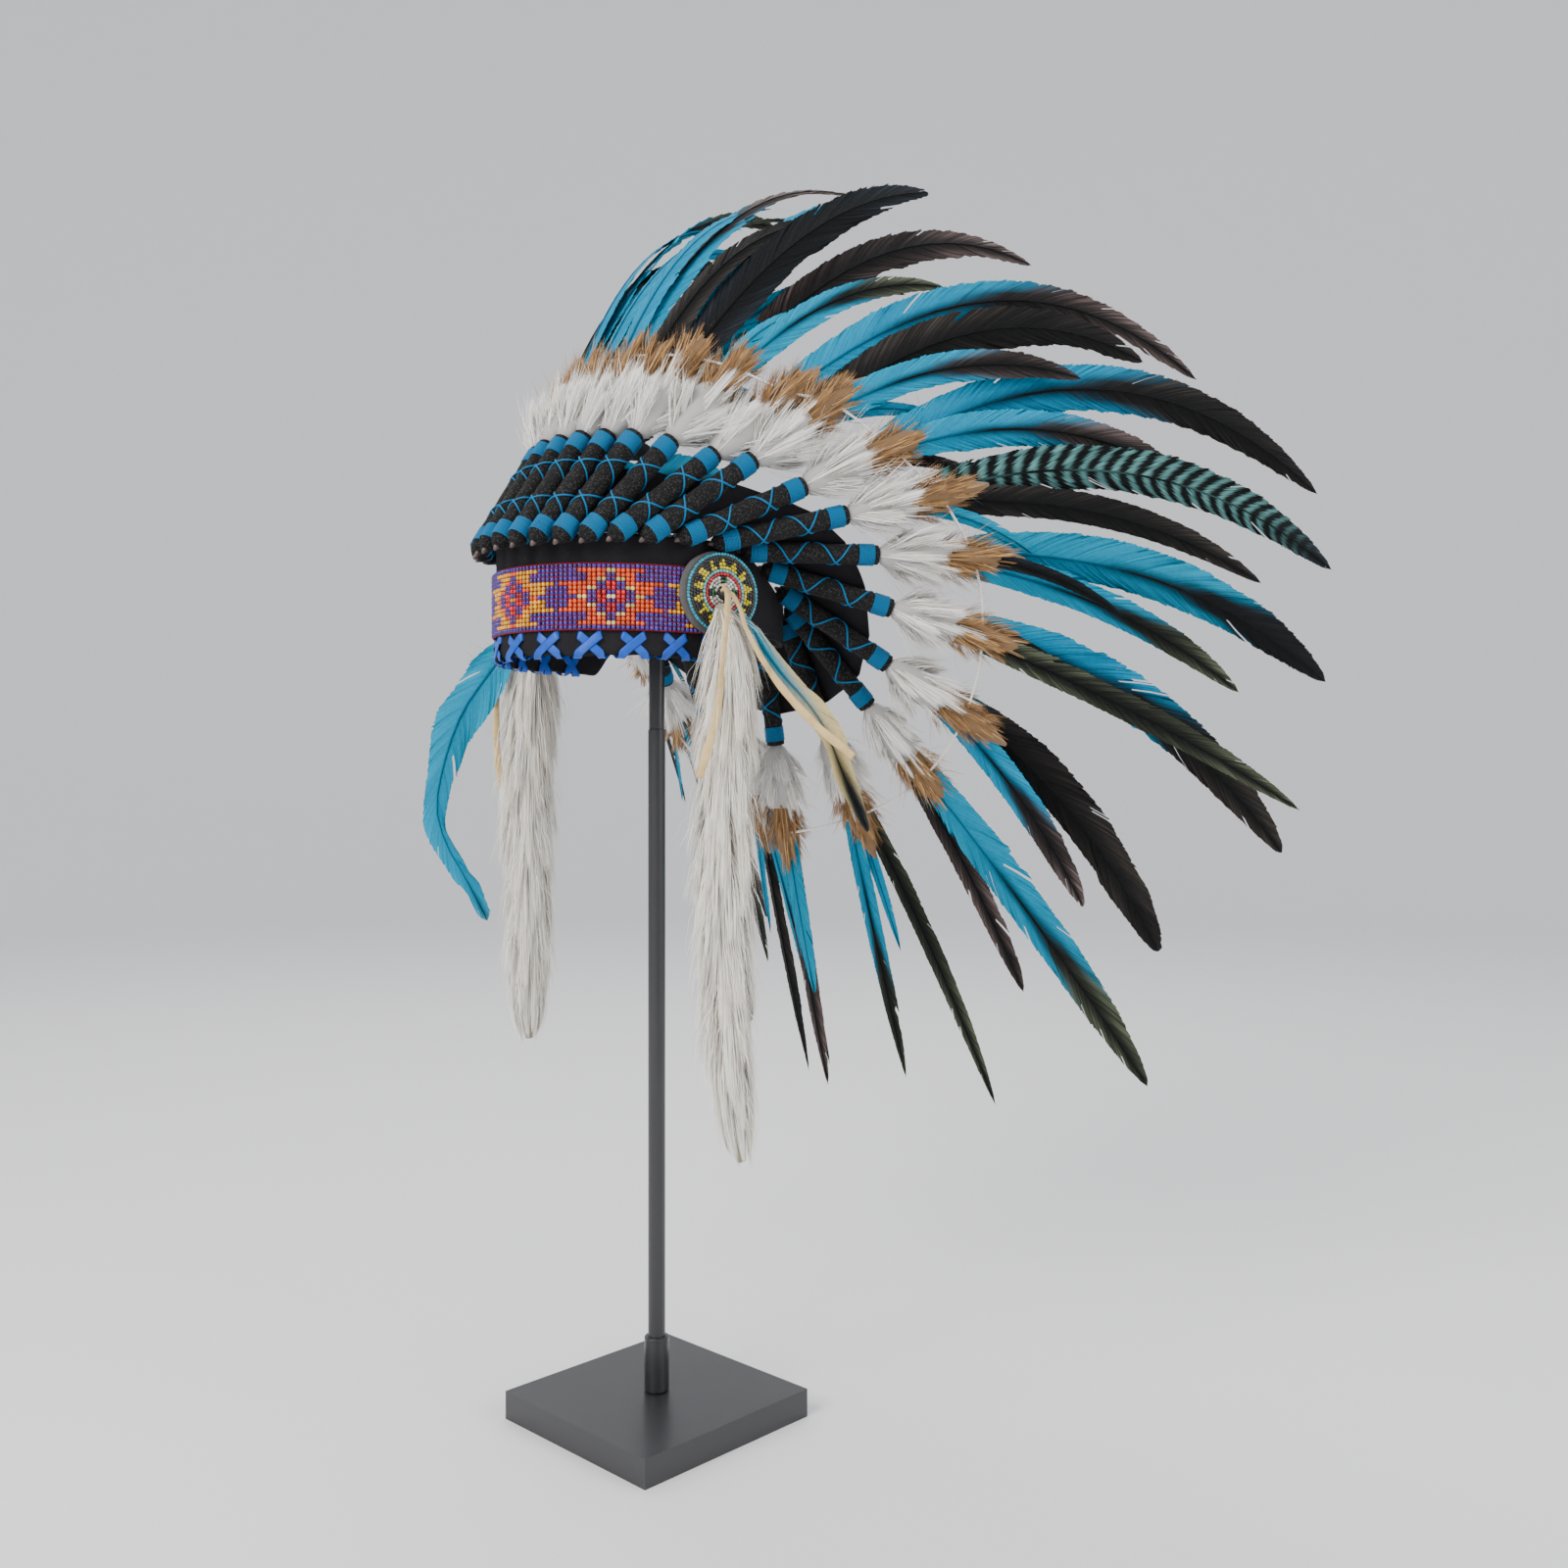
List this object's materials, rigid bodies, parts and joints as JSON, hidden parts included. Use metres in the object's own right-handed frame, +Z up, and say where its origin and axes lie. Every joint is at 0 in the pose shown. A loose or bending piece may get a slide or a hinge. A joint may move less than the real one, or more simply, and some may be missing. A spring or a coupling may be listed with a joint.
{
  "type": "feathered headdress on a stand",
  "caption": "Feathered headdress with a beaded brow band, ear rosettes, fur tails and a fan of plumes on wrapped rolls, on a plain black metal stand.",
  "frame": {"origin": "middle of the stand's underside, on the pole's axis", "axes": "+Z up the pole, -Y the way the headdress faces, +X the wearer's left"},
  "size_m": [0.5608, 0.4965, 0.7748],
  "materials": {
    "black_metal": "satin black paint",
    "black_suede": "napped black suede",
    "seed_beads": "glossy opaque seed beads on red thread",
    "rosette_beads": "glossy opaque seed beads",
    "backing_leather": "soft undyed leather",
    "roll_cloth": "woven black cloth with blue wound thread",
    "feather": "dyed turquoise and iridescent black feathers",
    "white_fur": "long white fur",
    "thong_leather": "smooth cream leather lace"
  },
  "bodies": {
    "root": {"stand_base": "black_metal", "stand_pole": "black_metal", "brow_band": "black_suede", "roll_backing": "black_suede", "bead_strip": "seed_beads", "rosette_left": "rosette_beads", "rosette_backing_left": "backing_leather", "fur_tail_left": "white_fur", "side_feather_left": "feather", "thong_left_short": "thong_leather", "thong_left_long": "thong_leather", "rosette_right": "rosette_beads", "rosette_backing_right": "backing_leather", "fur_tail_right": "white_fur", "side_feather_right": "feather", "thong_right_short": "thong_leather", "thong_right_long": "thong_leather", "roll_01": "roll_cloth", "roll_02": "roll_cloth", "roll_03": "roll_cloth", "roll_04": "roll_cloth", "roll_05": "roll_cloth", "roll_06": "roll_cloth", "roll_07": "roll_cloth", "roll_08": "roll_cloth", "roll_09": "roll_cloth", "roll_10": "roll_cloth", "roll_11": "roll_cloth", "roll_12": "roll_cloth", "roll_13": "roll_cloth", "roll_14": "roll_cloth", "roll_15": "roll_cloth", "roll_16": "roll_cloth", "roll_17": "roll_cloth", "roll_18": "roll_cloth", "roll_19": "roll_cloth", "roll_20": "roll_cloth", "roll_21": "roll_cloth", "roll_22": "roll_cloth", "roll_23": "roll_cloth", "roll_24": "roll_cloth", "roll_25": "roll_cloth", "roll_26": "roll_cloth", "roll_27": "roll_cloth", "roll_28": "roll_cloth", "plume_pair_01": "feather", "plume_pair_02": "feather", "plume_pair_03": "feather", "plume_pair_04": "feather", "plume_pair_05": "feather", "plume_pair_06": "feather", "plume_pair_07": "feather", "plume_pair_08": "feather", "plume_pair_09": "feather", "plume_pair_10": "feather", "plume_pair_11": "feather", "plume_pair_12": "feather", "plume_pair_13": "feather", "plume_pair_14": "feather"}
  },
  "joints": []
}
